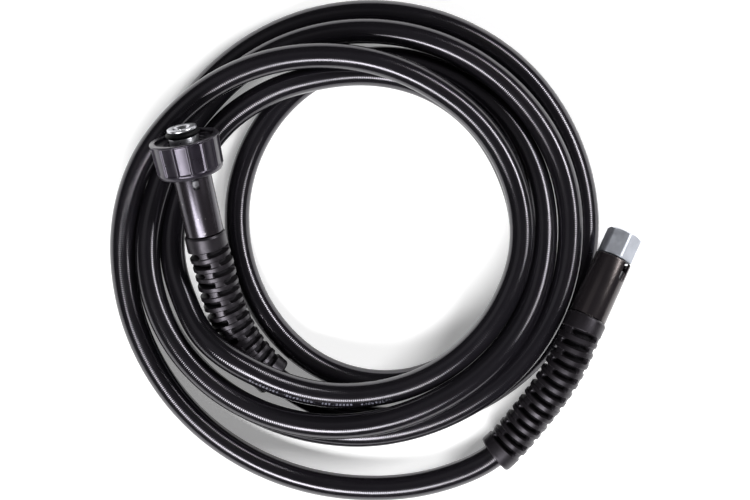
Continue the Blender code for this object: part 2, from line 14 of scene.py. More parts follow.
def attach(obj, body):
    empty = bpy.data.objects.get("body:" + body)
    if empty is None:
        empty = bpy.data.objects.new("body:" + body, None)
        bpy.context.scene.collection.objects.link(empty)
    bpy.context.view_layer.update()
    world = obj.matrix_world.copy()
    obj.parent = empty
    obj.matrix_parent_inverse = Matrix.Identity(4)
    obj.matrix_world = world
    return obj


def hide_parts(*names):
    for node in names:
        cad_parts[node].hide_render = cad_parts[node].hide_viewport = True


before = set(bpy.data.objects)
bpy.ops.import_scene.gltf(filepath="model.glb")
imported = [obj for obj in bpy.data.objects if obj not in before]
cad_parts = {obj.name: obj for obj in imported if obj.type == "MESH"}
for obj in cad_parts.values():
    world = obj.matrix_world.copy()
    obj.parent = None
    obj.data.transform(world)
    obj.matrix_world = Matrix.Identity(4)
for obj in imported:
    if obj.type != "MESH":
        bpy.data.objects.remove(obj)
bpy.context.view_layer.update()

# Sizes, as in the CAD
SEAT_GAP = 0.0003
STRAND_GAP = 0.0004
GUARD_ROOM = 0.0006

HOSE_DIAMETER = 0.0132
HOSE_RADIUS = HOSE_DIAMETER / 2
STATION_STEP = 10.0
COIL_CENTRE = Vector((-0.0049, 0.0081, 0.0))

SETTLE_STEPS = 600
PUSH_SHARE = 0.6
SIDEWAYS_SHARE = 0.45
REACH_EASE = 0.02
REACH_RETURN = 0.02
HEIGHT_EASE = 0.08
HEIGHT_RETURN = 0.004

GUARD_LENGTH = 0.0886
GUARD_RADIUS = 0.0107
GUARD_BRIDGE_RADIUS = 0.0103
GUARD_SLOT_RADIUS = 0.0073
GUARD_SLOTS = 3
GUARD_SLOT_HALF_TURN = 47.0
GUARD_EDGE_ROUND = 0.00025
GUARD_END_ROUND = 0.0005
GUARD_END_REACH = 0.0009
GUARD_COLLAR_LENGTH = 0.0080
GUARD_FOOT_LENGTH = 0.0074
GUARD_GROOVES = 14
GUARD_GROOVE_WIDTH = 0.0029
STEEL_GUARD_STAGGER = (12.0, -8.0)
HAND_GUARD_STAGGER = (42.0, 68.0)
STRAIGHT_PAST_SEAM = 0.0075

# How the guards' surfaces step down, in halves of a groove's width from its middle
GROOVE_STEP = (0.92, 1.16)
SLOT_STEP = (0.84, 0.96)
RING_EDGE = (0.96, 1.20)
GROOVE_ROWS = (
    -1.30, -1.18, -1.08, -1.00, -0.93, -0.87, -0.80, -0.5, 0.0,
    0.5, 0.80, 0.87, 0.93, 1.00, 1.08, 1.18, 1.30,
)
GUARD_END_ROWS = (0.0, 0.0002, 0.0005, 0.0009, 0.0012)
GUARD_FOOT_ROW = 0.0030

TINY_FILLET = 0.0001
SMALL_FILLET = 0.0002
FILLET = 0.0003
FLANGE_FILLET = 0.0004
LARGE_FILLET = 0.0005

FERRULE_BOTTOM = 0.0030
FERRULE_BORE_RADIUS = 0.0070
FERRULE_RADIUS = 0.0080
SLEEVE_BORE_RADIUS = 0.0083
SLEEVE_RADIUS = 0.0098
SLEEVE_END_FILLET = 0.0008
SLOT_CORNER_SHARE = 0.3
SLOT_CUTTER_DEPTH = 0.008
SLOT_CUTTER_INSET = 0.001
SPIGOT_BORE_RADIUS = 0.0028
THREAD_PITCH = 0.0015
THREAD_STEEPNESS = 1.6
THREAD_FULLNESS = 1.25

STEEL_SLEEVE_LENGTH = 0.0342
STEEL_FERRULE_RECESS = 0.0050
STEEL_SLOT = (0.0046, 0.0104, 229.0)
HEX_FLATS = 0.0170
HEX_LENGTH = 0.0140
HEX_CHAMFER = 0.0011
HEX_TURN = -17.8
HEX_CHAMFER_SLOPE = 30.0
HEX_CORNER_FLAT = 0.00035
HEX_THREAD_RADIUS = 0.0060
HEX_THREAD_DEPTH = 0.0007
HEX_THREAD_RELIEF = 0.0006
HEX_THREAD_START = 0.0034
HEX_THREAD_END = 0.0016
HEX_THREAD_RUN_IN = 0.0006
HEX_THREAD_RUN_OUT = 0.0005
HEX_NECK_RADIUS = 0.0046
HEX_SHOULDER_LENGTH = 0.0026
SWIVEL_HEAD_RIM = 0.0012
SWIVEL_CONE_LAND = 0.0006

HAND_SLEEVE_LENGTH = 0.0318
HAND_FERRULE_RECESS = 0.0020
HAND_SLOT = (0.0036, 0.0064, 189.0)
HAND_NUT_RADIUS = 0.0180
HAND_NUT_LENGTH = 0.0190
HAND_NUT_RIBS = 14
HAND_NUT_TURN = 6.4
HAND_NUT_RIB_HEIGHT = 0.0007
HAND_NUT_RIB_TOP = 0.00015
HAND_NUT_RIB_FOOT = 0.00110
HAND_NUT_PAD_DEPTH = 0.0002
HAND_NUT_RIB_END = (0.0028, 0.0036)
HAND_NUT_RIM_ROUND = 0.0005
HAND_NUT_LIP_LENGTH = 0.0008
HAND_NUT_LIP_STEP = 0.0006
HAND_NUT_TAPER = 0.0007
HAND_NUT_RECESS_RADIUS = 0.0150
HAND_NUT_RECESS_DEPTH = 0.0022
HAND_NUT_THREAD_RADIUS = 0.0105
HAND_NUT_THREAD_DEPTH = 0.0130
HAND_NUT_THREAD_HEIGHT = 0.0008
HAND_NUT_THREAD_RELIEF = 0.0004
HAND_NUT_THREAD_RUN_IN = (0.0018, 0.0026)
HAND_NUT_THREAD_RUN_OUT = (0.0012, 0.0005)
HAND_NUT_MOUTH_BEVEL = 0.0006
HAND_NUT_BASE_BEVEL = 0.0022
SPIGOT_NECK_RADIUS = 0.0050
SPIGOT_FLANGE_RADIUS = 0.0092
SPIGOT_FLANGE_LENGTH = 0.0020
SPIGOT_HEAD_RADIUS = 0.0077
SPIGOT_MOUTH_WIDENING = 0.0017
SPIGOT_HEAD_FILLET = 0.0006
SPIGOT_REACH = 0.0056
SEAL_THICKNESS = 0.0028
SEAL_BELOW_TOP = 0.0014
SEAL_GROOVE_RADIUS = 0.0058
SEAL_SIDES = 20

STEEL_SEAM = Vector((0.1144, -0.0431, 0.0262)) + COIL_CENTRE
STEEL_HEADING = 65.0
STEEL_RISE = -7.0
HAND_SEAM = Vector((-0.0828, 0.0008, 0.0346)) + COIL_CENTRE
HAND_HEADING = 101.1
HAND_RISE = 17.0

# Clock angle from +Y towards +X, distance from the coil's centre in mm, level in diameters.
TURN_ONE = [
    (110, 122.1, 1.50), (120, 122.9, 1.50), (130, 125.3, 1.16), (140, 128.6, 0.72), (150, 133.6, 0.40),
    (162, 134.8, 0.12), (180, 133.0, 0.00), (195, 132.6, 0.00), (210, 132.3, 0.00), (225, 131.9, 0.00),
    (240, 130.6, 0.10), (255, 129.0, 0.35), (270, 125.9, 0.75), (280, 123.1, 1.15), (290, 120.1, 1.35),
    (300, 115.4, 1.60), (310, 111.6, 1.75), (320, 107.0, 1.85), (330, 102.0, 1.90), (340, 97.2, 1.85),
    (350, 93.0, 1.80),
]
TURN_TWO = [
    (360, 89.6, 1.75), (370, 86.6, 1.72), (380, 84.2, 1.70), (390, 82.6, 1.70), (405, 81.8, 1.65),
    (420, 81.2, 1.60), (450, 80.9, 1.55), (480, 80.2, 1.50), (510, 80.3, 1.40), (525, 81.2, 1.20),
    (540, 82.8, 1.00), (560, 86.5, 1.25), (575, 89.6, 1.62), (585, 92.0, 1.62), (595, 95.1, 1.20),
    (610, 99.9, 0.60), (620, 102.0, 0.40), (630, 102.8, 0.35), (640, 101.8, 0.35), (650, 99.6, 0.45),
    (662, 96.5, 0.50), (675, 92.3, 0.75), (690, 88.0, 0.95), (700, 85.5, 1.00), (710, 84.4, 0.95),
]
TURN_THREE = [
    (720, 84.0, 0.85), (735, 83.8, 0.75), (750, 83.4, 0.70), (765, 82.8, 0.60), (780, 82.4, 0.50),
    (810, 82.2, 0.30), (840, 82.0, 0.10), (870, 81.6, 0.00), (885, 80.0, 0.00), (900, 77.2, 0.00),
    (920, 73.2, 0.00), (935, 70.0, 0.00), (950, 67.6, 0.00), (970, 66.3, 0.00), (990, 67.4, 0.00),
    (1010, 70.8, 0.00), (1030, 75.9, 0.00), (1040, 79.3, 0.00), (1050, 83.2, 0.00), (1060, 86.9, 0.00),
    (1070, 90.1, 0.00),
]
TURN_FOUR = [
    (1080, 92.5, 0.00), (1095, 94.3, 0.00), (1110, 94.8, 0.05), (1125, 94.8, 0.15), (1140, 94.4, 0.35),
    (1155, 93.8, 0.65), (1170, 93.1, 1.00), (1200, 92.3, 1.50), (1215, 92.2, 1.80), (1230, 92.6, 1.90),
    (1245, 94.7, 1.90), (1260, 98.0, 1.85), (1280, 103.7, 1.75), (1295, 108.4, 1.50), (1305, 111.3, 1.30),
    (1320, 114.4, 1.10), (1335, 115.3, 1.00), (1350, 113.5, 0.95), (1360, 110.5, 0.85), (1370, 108.7, 0.84),
    (1385, 107.6, 0.84), (1400, 107.0, 0.85), (1420, 106.6, 0.85),
]
TURN_FIVE = [
    (1440, 106.1, 0.80), (1470, 106.5, 0.80), (1500, 106.7, 0.80), (1530, 106.3, 0.85), (1550, 105.4, 0.90),
    (1575, 103.6, 1.00), (1590, 102.4, 1.00), (1605, 102.2, 0.95), (1620, 103.4, 0.85), (1640, 106.4, 0.70),
    (1655, 109.4, 0.50), (1665, 112.2, 0.30), (1680, 115.3, 0.10), (1695, 117.0, 0.00), (1710, 117.0, 0.00),
    (1740, 114.8, 0.00), (1760, 115.4, 0.00),
]
TURN_SIX = [
    (1800, 117.0, 0.00), (1830, 118.3, 0.00), (1845, 118.5, 0.00), (1860, 117.6, 0.00), (1890, 116.0, 0.00),
    (1905, 113.9, 0.00), (1920, 110.8, 0.00), (1935, 106.8, 0.00), (1950, 103.4, 0.00), (1965, 100.1, 0.00),
    (1980, 96.9, 0.00), (1995, 92.7, 0.12), (2010, 89.5, 0.36), (2020, 87.6, 0.56), (2030, 85.4, 0.81),
    (2040, 82.9, 1.08), (2050, 80.9, 1.39), (2060, 80.4, 1.75), (2070, 82.6, 2.10),
]
GUARDED_AT_START = 155
GUARDED_AT_END = 2005

# Surfaces, with places along the hose in metres and round it in shares of a turn
BEAD_PITCH = 0.00105
BEAD_HEIGHT = 0.00003
DASH_PITCH = 0.0018
DASH_SHARE = 0.6
DASH_GROUP_PITCH = 0.0192
DASH_GROUP_SHARE = 0.82
DASHES_START = 0.812
DASHES_END = 0.888
DASHES_ROUND = 0.117
DASHES_HALF_WIDTH = 0.017
WORN_BELOW = 0.46
DUST_ABOVE = 0.79
STEEL_SLEEVE_SHEEN = (1.0, 0.88, 0.86)
HAND_SLEEVE_SHEEN = (0.90, 0.84, 1.0)

# Mesh steps
SMOOTH_ANGLE = 40.0
HOSE_SMOOTH_ANGLE = 60.0
GUARD_SMOOTH_ANGLE = 50.0
HEX_SMOOTH_ANGLE = 22.0
SLEEVE_SIDES = 96
SPIGOT_SIDES = 128
HOSE_SIDES = 32
HOSE_RING_STEP = 0.0026
HOSE_END_INSET = 0.0005
GUARD_SIDES = 192
BORE_ROW_STEP = 6
BORE_UV_SHIFT = 0.2
NUT_ROW_UV_STEP = 0.0005
HEX_SIDES = 192
HEX_CHAMFER_ROWS = 12
HEX_FLAT_ROW = 0.0030
HEX_BASE_ROWS = ((0.0, 0.0012), (0.0, 0.0004), (0.0001, 0.0001), (0.0004, 0.0))
HEX_MOUTH_ROWS = ((0.0006, 0.0008), (0.0007, 0.0001), (0.0009, 0.0))
HEX_THREAD_ROW = 0.00013
HEX_LAST_THREAD_ROW = 0.0010
SIDES_TO_A_RIB = 26
RIM_ROWS = 6
UNDER_LIP = (0.0007, 6)
RIB_SIDES = (0.0015, 0.0044, 8)
RIB_ENDS = (0.0038, 9)
BASE_ROWS = 7
BASE_FIRST_ANGLE = 0.1
HAND_THREAD_ROW = 0.00016

# Studio
FLOOR_HALF = 6.0
FLOOR_WHITE = 0.96
FLOOR_GLOW = 0.26
FLOOR_ROUGHNESS = 0.7
SKY_STRENGTH = 0.05
LIGHTS = [
    # name, place, width, height, power
    ("front", (-0.40, -1.40, 1.50), 1.5, 0.50, 70.0),
    ("right", (1.38, 0.62, 1.38), 1.1, 0.36, 40.0),
    ("fill", (-1.1, 0.5, 1.7), 1.6, 1.2, 1.8),
]

# Camera
SENSOR_WIDTH = 36.0
PIXEL = 0.00053
CAMERA_HEIGHT = 1.1
PHOTO_WIDTH = 750
MIDDLE_RIGHT = 8.7
MIDDLE_BELOW = 15.3


def make_camera():
    """Straight above the floor, over the point that the photograph's middle shows."""
    data = bpy.data.cameras.new("camera")
    data.sensor_width = SENSOR_WIDTH
    data.lens = data.sensor_width * CAMERA_HEIGHT / (PHOTO_WIDTH * PIXEL)
    camera = bpy.data.objects.new("camera", data)
    camera.location = COIL_CENTRE + Vector((MIDDLE_RIGHT * PIXEL, -MIDDLE_BELOW * PIXEL, CAMERA_HEIGHT))
    bpy.context.scene.collection.objects.link(camera)
    bpy.context.scene.camera = camera


# The hose's route
def smooth_values(places, values, wanted):
    """Natural cubic curve through the values, read at the wanted places."""
    x = np.asarray(places, dtype=float)
    y = np.asarray(values, dtype=float)
    gaps = np.diff(x)
    slopes = np.diff(y) / gaps
    count = len(x)
    system = np.eye(count)
    right = np.zeros(count)
    for i in range(1, count - 1):
        system[i, i - 1] = gaps[i - 1]
        system[i, i] = 2.0 * (gaps[i - 1] + gaps[i])
        system[i, i + 1] = gaps[i]
        right[i] = 6.0 * (slopes[i] - slopes[i - 1])
    bend = np.linalg.solve(system, right)
    at = np.clip(np.searchsorted(x, wanted) - 1, 0, count - 2)
    left = np.asarray(wanted) - x[at]
    rest = gaps[at] - left
    curved = bend[at] * rest ** 3 + bend[at + 1] * left ** 3
    first = (y[at] / gaps[at] - bend[at] * gaps[at] / 6.0) * rest
    second = (y[at + 1] / gaps[at] - bend[at + 1] * gaps[at] / 6.0) * left
    return curved / (6.0 * gaps[at]) + first + second


def settled_coil():
    """Stations round the coil, pressed apart until no two strands share room."""
    stations = TURN_ONE + TURN_TWO + TURN_THREE + TURN_FOUR + TURN_FIVE + TURN_SIX
    clock = [angle for angle, reach, level in stations]
    angles = np.arange(stations[0][0], stations[-1][0] + 0.1, STATION_STEP)
    reach = smooth_values(clock, [value / 1000.0 for angle, value, level in stations], angles)
    level = smooth_values(clock, [value for angle, distance, value in stations], angles)
    height = np.maximum(level + 0.5, 0.5) * HOSE_DIAMETER
    guarded = (angles < GUARDED_AT_START) | (angles > GUARDED_AT_END)
    body = np.where(guarded, GUARD_RADIUS + GUARD_ROOM, HOSE_RADIUS)
    held = guarded.astype(float)
    chosen_reach = reach.copy()
    chosen_height = height.copy()
    turn = int(round(360.0 / STATION_STEP))
    for step in range(SETTLE_STEPS):
        push_reach = np.zeros(len(angles))
        push_height = np.zeros(len(angles))
        for lower in range(turn, len(angles), turn):
            inner = np.arange(len(angles) - lower)
            outer = inner + lower
            across = reach[outer] - reach[inner]
            above = height[outer] - height[inner]
            apart = np.maximum(np.hypot(across, above), 1e-6)
            room = body[outer] + body[inner] + STRAND_GAP
            lack = np.maximum(room - apart, 0.0) / apart
            share = 0.5 + 0.5 * (held[inner] - held[outer])
            sideways = lack * across * SIDEWAYS_SHARE
            upwards = lack * above
            np.add.at(push_reach, outer, sideways * share)
            np.add.at(push_height, outer, upwards * share)
            np.add.at(push_reach, inner, -sideways * (1.0 - share))
            np.add.at(push_height, inner, -upwards * (1.0 - share))
        reach = reach + PUSH_SHARE * push_reach * (1.0 - held)
        height = height + PUSH_SHARE * push_height * (1.0 - held)
        even_reach = np.zeros(len(angles))
        even_reach[1:-1] = 0.5 * (reach[:-2] + reach[2:]) - reach[1:-1]
        even_height = np.zeros(len(angles))
        even_height[1:-1] = 0.5 * (height[:-2] + height[2:]) - height[1:-1]
        reach_change = REACH_EASE * even_reach + REACH_RETURN * (chosen_reach - reach)
        height_change = HEIGHT_EASE * even_height + HEIGHT_RETURN * (chosen_height - height)
        reach = reach + reach_change * (1.0 - held)
        height = np.maximum(height + height_change * (1.0 - held), HOSE_RADIUS)
    return angles, reach, height


def fitting_direction(heading, rise):
    """The way a fitting points, from its heading and its rise in degrees."""
    flat = math.cos(math.radians(rise))
    return Vector((
        flat * math.cos(math.radians(heading)),
        flat * math.sin(math.radians(heading)),
        math.sin(math.radians(rise)),
    ))


def straight_end(seam, way, insert):
    """The hose's stretch inside the ferrule and the bend guard's collar."""
    return [seam + way * insert, seam + way * (insert * 0.5), seam, seam - way * STRAIGHT_PAST_SEAM]


def hose_route():
    """Points of the hose's centre line, from the steel ferrule to the plastic end's ferrule."""
    angles, reach, height = settled_coil()
    route = []
    for angle, distance, level in zip(angles, reach, height):
        turned_by = math.radians(angle)
        flat = Vector((distance * math.sin(turned_by), distance * math.cos(turned_by), level))
        route.append(flat + COIL_CENTRE)
    steel_way = fitting_direction(STEEL_HEADING, STEEL_RISE)
    hand_way = fitting_direction(HAND_HEADING, HAND_RISE)
    start = straight_end(STEEL_SEAM, steel_way, STEEL_INSERT)
    end = straight_end(HAND_SEAM, hand_way, HAND_INSERT)
    return start + route[1:-1] + end[::-1]


STEEL_INSERT = STEEL_SLEEVE_LENGTH - STEEL_FERRULE_RECESS - FERRULE_BOTTOM - SEAT_GAP
HAND_INSERT = HAND_SLEEVE_LENGTH - HAND_FERRULE_RECESS - FERRULE_BOTTOM - SEAT_GAP


def running_lengths(points):
    """How far along the row of points each of them is."""
    return np.concatenate([[0.0], np.cumsum(np.linalg.norm(np.diff(points, axis=0), axis=1))])


class Line:
    """A smooth curve through points, read by the distance along it."""

    def __init__(self, points):
        self.points = np.array([tuple(p) for p in points])
        self.steps = running_lengths(self.points)
        self.length = float(self.steps[-1])

    def at(self, distances):
        values = [smooth_values(self.steps, self.points[:, k], distances) for k in range(3)]
        return np.stack(values, axis=1)

    def frames(self, distances):
        """Places, and the directions along, up and sideways there."""
        distances = np.asarray(distances, dtype=float)
        step = 0.0004
        places = self.at(distances)
        ahead = self.at(distances + step) - self.at(distances - step)
        ahead /= np.linalg.norm(ahead, axis=1)[:, None]
        up = np.array([0.0, 0.0, 1.0]) - ahead * ahead[:, 2:3]
        up /= np.linalg.norm(up, axis=1)[:, None]
        side = np.cross(up, ahead)
        return places, ahead, up, side


# Mesh helpers
def ring_directions(up, side, sides):
    """Directions round the route at each place, from up towards the side."""
    angles = np.arange(sides) * 2 * math.pi / sides
    ways = up[:, None, :] * np.cos(angles)[None, :, None] + side[:, None, :] * np.sin(angles)[None, :, None]
    return ways, angles


def ring_mesh(name, rings, along, material, closed=False, smooth_angle=SMOOTH_ANGLE):
    """A mesh through rings of points. closed joins the last ring to the first, else both get caps."""
    count, sides = rings.shape[0], rings.shape[1]
    verts = rings.reshape(-1, 3)
    faces = []
    spans = count if closed else count - 1
    for i in range(spans):
        j = (i + 1) % count
        for k in range(sides):
            m = (k + 1) % sides
            faces.append((i * sides + k, i * sides + m, j * sides + m, j * sides + k))
    if not closed:
        faces.append(tuple(range(sides))[::-1])
        faces.append(tuple((count - 1) * sides + k for k in range(sides)))
    mesh = bpy.data.meshes.new(name)
    mesh.from_pydata([tuple(v) for v in verts], [], faces)
    layer = mesh.uv_layers.new(name="run")
    coords = np.zeros((len(mesh.loops), 2), np.float32)
    at = 0
    along = np.asarray(along, dtype=float)
    after = np.roll(along, -1) if closed else along[1:]
    k = np.arange(sides)
    for i in range(spans):
        block = np.empty((sides, 4, 2))
        block[:, 0] = np.stack([np.full(sides, along[i]), k / sides], axis=1)
        block[:, 1] = np.stack([np.full(sides, along[i]), (k + 1) / sides], axis=1)
        block[:, 2] = np.stack([np.full(sides, after[i]), (k + 1) / sides], axis=1)
        block[:, 3] = np.stack([np.full(sides, after[i]), k / sides], axis=1)
        coords[at:at + sides * 4] = block.reshape(-1, 2)
        at += sides * 4
    layer.data.foreach_set("uv", coords.ravel())
    shape = bmesh.new()
    shape.from_mesh(mesh)
    bmesh.ops.recalc_face_normals(shape, faces=shape.faces)
    shape.to_mesh(mesh)
    shape.free()
    mesh.shade_smooth()
    mesh.set_sharp_from_angle(angle=math.radians(smooth_angle))
    mesh.materials.append(material)
    item = bpy.data.objects.new(name, mesh)
    bpy.context.scene.collection.objects.link(item)
    return item


def rounded(profile):
    """A closed outline of (radius, height, fillet) with its corners rounded."""
    longest_share = 0.45
    steps = 5
    out = []
    count = len(profile)
    for i, (r, z, fillet) in enumerate(profile):
        here = np.array([r, z])
        before = np.array(profile[i - 1][:2]) - here
        after = np.array(profile[(i + 1) % count][:2]) - here
        room = min(np.linalg.norm(before), np.linalg.norm(after))
        reach = min(fillet, longest_share * room)
        if reach <= 0:
            out.append(here)
            continue
        first = here + before / np.linalg.norm(before) * reach
        last = here + after / np.linalg.norm(after) * reach
        for t in np.linspace(0.0, 1.0, steps):
            out.append((1 - t) ** 2 * first + 2 * t * (1 - t) * here + t ** 2 * last)
    return out


def turned(name, profile, material, place, sides=SLEEVE_SIDES):
    """A closed outline turned round the fitting's axis."""
    outline = np.array(rounded(profile))
    angles = np.arange(sides) * 2 * math.pi / sides
    rings = np.stack([
        outline[:, 0][:, None] * np.cos(angles),
        outline[:, 0][:, None] * np.sin(angles),
        np.repeat(outline[:, 1][:, None], sides, axis=1),
    ], axis=2)
    item = ring_mesh(name, rings, running_lengths(outline), material, closed=True)
    item.data.transform(place)
    return item


def fitting_place(seam, heading, rise):
    """Turns +Z to the fitting's direction and moves the origin to its seam."""
    tilt = Matrix.Rotation(math.radians(90.0 - rise), 4, "Y")
    turn = Matrix.Rotation(math.radians(heading), 4, "Z") @ tilt
    return Matrix.Translation(seam) @ turn


def carve(item, cutter):
    """The item less the cutter, as one mesh."""
    change = item.modifiers.new("cut", "BOOLEAN")
    change.operation = "DIFFERENCE"
    change.solver = "EXACT"
    change.object = cutter
    graph = bpy.context.evaluated_depsgraph_get()
    mesh = bpy.data.meshes.new_from_object(item.evaluated_get(graph), depsgraph=graph)
    item.modifiers.clear()
    item.data = mesh
    mesh.shade_smooth()
    mesh.set_sharp_from_angle(angle=math.radians(SMOOTH_ANGLE))
    bpy.data.objects.remove(cutter, do_unlink=True)


def smoothstep(low, high, value):
    """0 below low, 1 above high and smooth between."""
    t = np.clip((value - low) / (high - low), 0.0, 1.0)
    return t * t * (3 - 2 * t)


# Materials
class Nodes:
    """Short names for building a material's nodes."""

    def __init__(self, name):
        self.material = bpy.data.materials.new(name)
        self.material.use_nodes = True
        self.tree = self.material.node_tree
        self.shader = self.tree.nodes["Principled BSDF"]

    def add(self, kind, **settings):
        node = self.tree.nodes.new(kind)
        for key, value in settings.items():
            setattr(node, key, value)
        return node

    def link(self, out, into):
        self.tree.links.new(out, into)

    def math(self, operation, a, b=None, c=None):
        """A math node's result. Each value is a number or another node's output."""
        node = self.add("ShaderNodeMath", operation=operation)
        for socket, value in zip(node.inputs, (a, b, c)):
            if value is None:
                continue
            if isinstance(value, (int, float)):
                socket.default_value = value
            else:
                self.link(value, socket)
        return node.outputs[0]

    def noise(self, scale, detail):
        place = self.add("ShaderNodeTexCoord").outputs["Object"]
        node = self.add("ShaderNodeTexNoise")
        node.inputs["Scale"].default_value = scale
        node.inputs["Detail"].default_value = detail
        self.link(place, node.inputs["Vector"])
        return node.outputs["Fac"]

    def tint(self, noise, dark, light):
        """A colour between two (place, colour) stops of the noise."""
        node = self.add("ShaderNodeValToRGB")
        for element, (place, colour) in zip(node.color_ramp.elements, (dark, light)):
            element.position = place
            element.color = (*colour, 1.0)
        self.link(noise, node.inputs["Fac"])
        return node.outputs["Color"]

    def span(self, noise, low, high):
        """The noise's usual spread, taken to the range from low to high."""
        node = self.add("ShaderNodeMapRange")
        limits = (("From Min", 0.3), ("From Max", 0.7), ("To Min", low), ("To Max", high))
        for key, number in limits:
            node.inputs[key].default_value = number
        self.link(noise, node.inputs["Value"])
        return node.outputs["Result"]

    def finish(self, colour, roughness, specular=None, sheen=None, normal=None, metallic=None):
        """Links the shader's colour, roughness and normal and sets its plain values."""
        inputs = self.shader.inputs
        self.link(colour, inputs["Base Color"])
        self.link(roughness, inputs["Roughness"])
        if specular is not None:
            inputs["Specular IOR Level"].default_value = specular
        if sheen is not None:
            inputs["Specular Tint"].default_value = (*sheen, 1.0)
        if metallic is not None:
            inputs["Metallic"].default_value = metallic
        if normal is not None:
            self.link(normal, inputs["Normal"])
        return self.material

    def mix(self, share, first, second):
        node = self.add("ShaderNodeMix", data_type="RGBA")
        for key, value in ((0, share), (6, first), (7, second)):
            if isinstance(value, (int, float)):
                node.inputs[key].default_value = value
            elif isinstance(value, tuple):
                node.inputs[key].default_value = (*value, 1.0)
            else:
                self.link(value, node.inputs[key])
        return node.outputs[2]

    def bump(self, height, distance, strength=1.0, after=None):
        node = self.add("ShaderNodeBump")
        node.inputs["Strength"].default_value = strength
        node.inputs["Distance"].default_value = distance
        self.link(height, node.inputs["Height"])
        if after is not None:
            self.link(after, node.inputs["Normal"])
        return node.outputs["Normal"]

    def run(self):
        """The distance along the piece and the share of the way round it."""
        place = self.add("ShaderNodeUVMap", uv_map="run").outputs["UV"]
        parts = self.add("ShaderNodeSeparateXYZ")
        self.link(place, parts.inputs[0])
        return parts.outputs["X"], parts.outputs["Y"]


def hose_rubber():
    """Glossy black rubber with fine beads round it, low waves and a line of dashes."""
    n = Nodes("rubber_hose")
    along, around = n.run()
    black = n.tint(n.noise(9.0, 4.0), (0.35, (0.0038, 0.0034, 0.0045)), (0.7, (0.0058, 0.0052, 0.0068)))
    colour = n.mix(printed_dashes(n, along, around), black, (0.12, 0.12, 0.15))
    beads = n.math("SINE", n.math("MULTIPLY", along, 2 * math.pi / BEAD_PITCH))
    low = n.bump(n.noise(40.0, 2.0), 0.0006, 0.22)
    return n.finish(
        colour, n.span(n.noise(60.0, 4.0), 0.14, 0.21), specular=0.55, sheen=(0.95, 0.91, 1.0),
        normal=n.bump(beads, BEAD_HEIGHT, 0.9, low),
    )


def printed_dashes(n, along, around):
    """A worn line of plain dashes along a short stretch of the hose."""
    local = n.math("SUBTRACT", along, DASHES_START)
    after_start = n.math("GREATER_THAN", local, 0.0)
    before_end = n.math("LESS_THAN", local, DASHES_END - DASHES_START)
    inside = n.math("MULTIPLY", after_start, before_end)
    off_centre = n.math("ABSOLUTE", n.math("SUBTRACT", around, DASHES_ROUND))
    out = n.math("MULTIPLY", inside, n.math("LESS_THAN", off_centre, DASHES_HALF_WIDTH))
    for pitch, share in ((DASH_PITCH, DASH_SHARE), (DASH_GROUP_PITCH, DASH_GROUP_SHARE)):
        within = n.math("FRACT", n.math("DIVIDE", local, pitch))
        out = n.math("MULTIPLY", out, n.math("LESS_THAN", within, share))
    worn = n.math("GREATER_THAN", n.noise(700.0, 2.0), WORN_BELOW)
    return n.math("MULTIPLY", out, worn)


def guard_rubber():
    """Matt rubber, with painted shade that makes the floors of the slots darker and duller."""
    n = Nodes("guard_rubber")
    black = n.tint(n.noise(40.0, 4.0), (0.3, (0.0046, 0.0039, 0.0048)), (0.75, (0.0074, 0.0062, 0.0074)))
    # The depth attribute marks the slot floors; a near-black colour and extra roughness are mixed in there
    # as painted shade.
    depth = n.add("ShaderNodeAttribute", attribute_name="depth").outputs["Fac"]
    rough = n.span(n.noise(160.0, 3.0), 0.34, 0.44)
    coarse = n.bump(n.noise(180.0, 3.0), 0.0003, 0.3)
    return n.finish(
        n.mix(depth, black, (0.0010, 0.0009, 0.0011)), n.math("MULTIPLY_ADD", depth, 0.4, rough),
        specular=0.38, sheen=(0.94, 0.88, 1.0), normal=n.bump(n.noise(1800.0, 2.0), 0.00006, 0.4, coarse),
    )


def sleeve_plastic(name, sheen):
    """Glossy black plastic with a speck of dust here and there. sheen colours its reflections."""
    n = Nodes(name)
    dust = n.math("GREATER_THAN", n.noise(420.0, 1.0), DUST_ABOVE)
    black = n.tint(n.noise(30.0, 3.0), (0.3, (0.0062, 0.0052, 0.0064)), (0.75, (0.0100, 0.0082, 0.0094)))
    return n.finish(
        n.mix(dust, black, (0.20, 0.19, 0.19)), n.span(n.noise(90.0, 4.0), 0.21, 0.27),
        specular=0.6, sheen=sheen, normal=n.bump(n.noise(120.0, 3.0), 0.0003, 0.10),
    )


def nut_plastic():
    """Half glossy black plastic with violet reflections."""
    n = Nodes("nut_plastic")
    black = n.tint(n.noise(50.0, 4.0), (0.3, (0.0050, 0.0040, 0.0064)), (0.75, (0.0080, 0.0064, 0.0098)))
    return n.finish(
        black, n.span(n.noise(200.0, 4.0), 0.27, 0.34), specular=0.52, sheen=(0.90, 0.83, 1.0),
        normal=n.bump(n.noise(500.0, 2.0), 0.00004, 0.2),
    )


def seal_rubber():
    """Dull black rubber."""
    n = Nodes("seal_rubber")
    black = n.tint(n.noise(200.0, 2.0), (0.3, (0.0014, 0.0012, 0.0018)), (0.8, (0.0028, 0.0025, 0.0034)))
    return n.finish(black, n.span(n.noise(300.0, 2.0), 0.50, 0.60), specular=0.15)


def zinc_steel():
    """Dull plating with a fine grain."""
    n = Nodes("zinc_steel")
    grey = n.tint(n.noise(160.0, 4.0), (0.3, (0.46, 0.48, 0.53)), (0.7, (0.56, 0.58, 0.64)))
    return n.finish(
        grey, n.span(n.noise(400.0, 4.0), 0.44, 0.54), metallic=1.0,
        normal=n.bump(n.noise(1400.0, 3.0), 0.00005, 0.35),
    )


def bright_steel():
    """Turned steel, a little duller than polished."""
    n = Nodes("bright_steel")
    grey = n.tint(n.noise(120.0, 3.0), (0.3, (0.46, 0.46, 0.49)), (0.7, (0.60, 0.60, 0.63)))
    return n.finish(
        grey, n.span(n.noise(350.0, 3.0), 0.26, 0.36), metallic=1.0,
        normal=n.bump(n.noise(300.0, 2.0), 0.00004, 0.12),
    )


